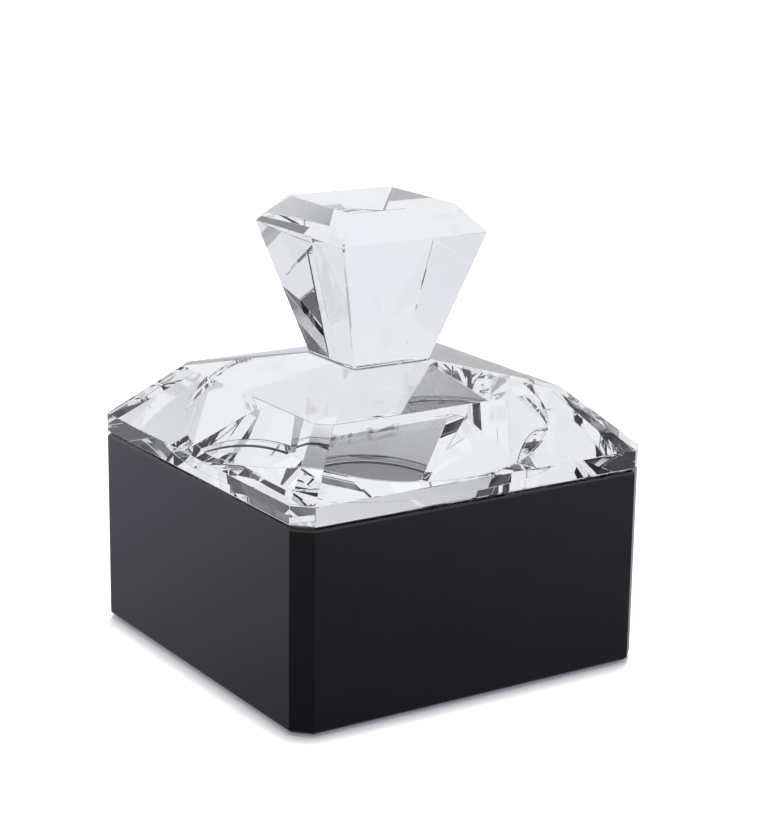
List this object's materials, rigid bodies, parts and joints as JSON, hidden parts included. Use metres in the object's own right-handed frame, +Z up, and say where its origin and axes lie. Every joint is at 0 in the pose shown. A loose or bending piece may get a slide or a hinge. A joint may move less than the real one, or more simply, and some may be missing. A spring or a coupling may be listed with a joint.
{
  "type": "crystal trinket box",
  "caption": "Square black glass trinket box with a round well and a faceted clear crystal lid that lifts off by its diamond-cut knob and can turn on its round seat.",
  "frame": {"origin": "centre of the footprint, on the surface the box stands on", "axes": "+Z up; -Y towards the front side and -X towards the left side, each square to a flat side of the base"},
  "size_m": [0.1, 0.1, 0.1137],
  "materials": {
    "black_crystal": "polished black glass, opaque",
    "clear_crystal": "polished clear optical crystal",
    "bond_film": "clear cured adhesive",
    "foot_pads": "clear matt silicone"
  },
  "bodies": {
    "base": {"base_block": "black_crystal", "foot_pad_front_left": "foot_pads", "foot_pad_front_right": "foot_pads", "foot_pad_back_left": "foot_pads", "foot_pad_back_right": "foot_pads"},
    "lid_seat": {"locating_disc": "clear_crystal", "disc_bond_film": "bond_film"},
    "lid": {"lid_plate": "clear_crystal", "knob_bond_film": "bond_film", "knob": "clear_crystal"}
  },
  "joints": [
    {"name": "lid_lift", "type": "slide", "parent": "base", "child": "lid_seat", "axis": [0, 0, 1], "range_m": [0, 0.06]},
    {"name": "lid_turn", "type": "hinge", "parent": "lid_seat", "child": "lid", "pos_m": [0, 0, 0.0507], "axis": [0, 0, 1], "continuous": true}
  ]
}
